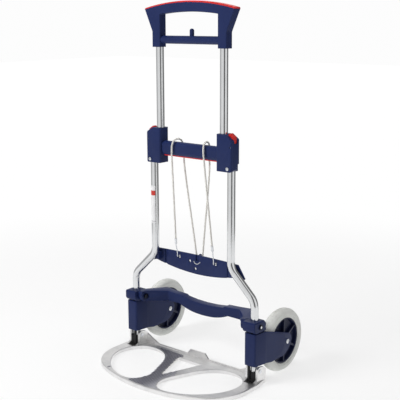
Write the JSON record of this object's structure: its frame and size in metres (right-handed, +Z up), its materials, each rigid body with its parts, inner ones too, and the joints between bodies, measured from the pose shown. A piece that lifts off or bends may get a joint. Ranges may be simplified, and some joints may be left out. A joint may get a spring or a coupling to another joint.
{
  "type": "hand truck",
  "caption": "Folding hand truck with a telescopic loop handle, cast toe plate, swing-in wheels, spreader bar and an elastic luggage cord.",
  "frame": {"origin": "on the floor at the centre of the truck's footprint, opened for use", "axes": "+Z up, +X to the truck's right, toe plate towards -Y and wheels towards +Y"},
  "size_m": [0.492, 0.4399, 1.021],
  "materials": {
    "tube_aluminium": "drawn and anodised aluminium tube",
    "navy_plastic": "fine-grained moulded nylon, navy",
    "red_plastic": "smooth red moulded plastic",
    "black_plastic": "black moulded nylon",
    "zinc_steel": "bright zinc-plated steel",
    "tyre_rubber": "light grey solid rubber tyre",
    "rim_plastic": "dark moulded rim",
    "cast_aluminium": "bead-blasted die-cast aluminium, ribbed at the middle",
    "white_label": "blank white sticker",
    "cord_fabric": "grey braided elastic cord"
  },
  "bodies": {
    "frame": {"left_lower_tube": "tube_aluminium", "right_lower_tube": "tube_aluminium", "left_mid_bracket": "navy_plastic", "right_mid_bracket": "navy_plastic", "left_guide_bush": "black_plastic", "right_guide_bush": "black_plastic", "lever_pins": "zinc_steel", "bracket_screws": "zinc_steel", "carry_bar": "navy_plastic", "carry_bar_insert": "red_plastic", "load_panel": "navy_plastic", "panel_rivets": "zinc_steel", "left_collar": "navy_plastic", "right_collar": "navy_plastic", "collar_bolts": "zinc_steel", "left_foot": "black_plastic", "right_foot": "black_plastic", "left_fold_link": "black_plastic", "right_fold_link": "black_plastic", "toe_hinge_pins": "zinc_steel", "fork_clips": "zinc_steel", "tube_label": "white_label", "elastic_cord": "cord_fabric", "left_cord_hook": "zinc_steel", "right_cord_hook": "zinc_steel", "left_lever_spring": "zinc_steel", "right_lever_spring": "zinc_steel"},
    "handle": {"handle_frame": "navy_plastic", "grip_strip": "red_plastic", "handle_screws": "zinc_steel", "left_upper_tube": "tube_aluminium", "right_upper_tube": "tube_aluminium", "left_tube_plug": "black_plastic", "right_tube_plug": "black_plastic"},
    "left_lever": {"left_release_lever": "red_plastic"},
    "right_lever": {"right_release_lever": "red_plastic"},
    "toe": {"toe_plate": "cast_aluminium"},
    "spreader": {"spreader_bar": "navy_plastic"},
    "left_wheel_fork": {"left_fork": "navy_plastic", "left_fork_bush": "black_plastic", "left_axle": "zinc_steel"},
    "right_wheel_fork": {"right_fork": "navy_plastic", "right_fork_bush": "black_plastic", "right_axle": "zinc_steel"},
    "left_wheel": {"left_tyre": "tyre_rubber", "left_rim": "rim_plastic", "left_wheel_bush": "black_plastic"},
    "right_wheel": {"right_tyre": "tyre_rubber", "right_rim": "rim_plastic", "right_wheel_bush": "black_plastic"}
  },
  "joints": [
    {"name": "handle_slide", "type": "slide", "parent": "frame", "child": "handle", "axis": [0, 0, -1], "range_m": [0, 0.215]},
    {"name": "left_lever_press", "type": "hinge", "parent": "frame", "child": "left_lever", "pos_m": [-0.146, 0.005, 0.643], "axis": [0, 1, 0], "range_deg": [0, 5], "stiffness_Nm_per_rad": 0.4, "springref_deg": -11.46, "deforming": ["left_lever_spring"]},
    {"name": "right_lever_press", "type": "hinge", "parent": "frame", "child": "right_lever", "pos_m": [0.146, 0.005, 0.643], "axis": [0, -1, 0], "range_deg": [0, 5], "stiffness_Nm_per_rad": 0.4, "springref_deg": -11.46, "deforming": ["right_lever_spring"]},
    {"name": "toe_fold", "type": "hinge", "parent": "frame", "child": "toe", "pos_m": [0, 0.005, 0.04], "axis": [-1, 0, 0], "range_deg": [0, 90]},
    {"name": "spreader_swing", "type": "hinge", "parent": "frame", "child": "spreader", "pos_m": [0, 0.005, 0.1655], "axis": [1, 0, 0], "range_deg": [0, 90]},
    {"name": "left_fork_swing", "type": "hinge", "parent": "frame", "child": "left_wheel_fork", "pos_m": [-0.218, 0.005, 0.09], "axis": [0, 0, -1], "range_deg": [0, 90]},
    {"name": "right_fork_swing", "type": "hinge", "parent": "frame", "child": "right_wheel_fork", "pos_m": [0.218, 0.005, 0.09], "axis": [0, 0, 1], "range_deg": [0, 90]},
    {"name": "left_wheel_spin", "type": "hinge", "parent": "left_wheel_fork", "child": "left_wheel", "pos_m": [-0.218, 0.13, 0.09], "axis": [1, 0, 0], "continuous": true},
    {"name": "right_wheel_spin", "type": "hinge", "parent": "right_wheel_fork", "child": "right_wheel", "pos_m": [0.218, 0.13, 0.09], "axis": [1, 0, 0], "continuous": true}
  ],
  "couplings": [
    {"joint": "spreader_swing", "follows": "toe_fold", "ratio": 1},
    {"joint": "left_fork_swing", "follows": "toe_fold", "ratio": 1},
    {"joint": "right_fork_swing", "follows": "toe_fold", "ratio": 1}
  ]
}
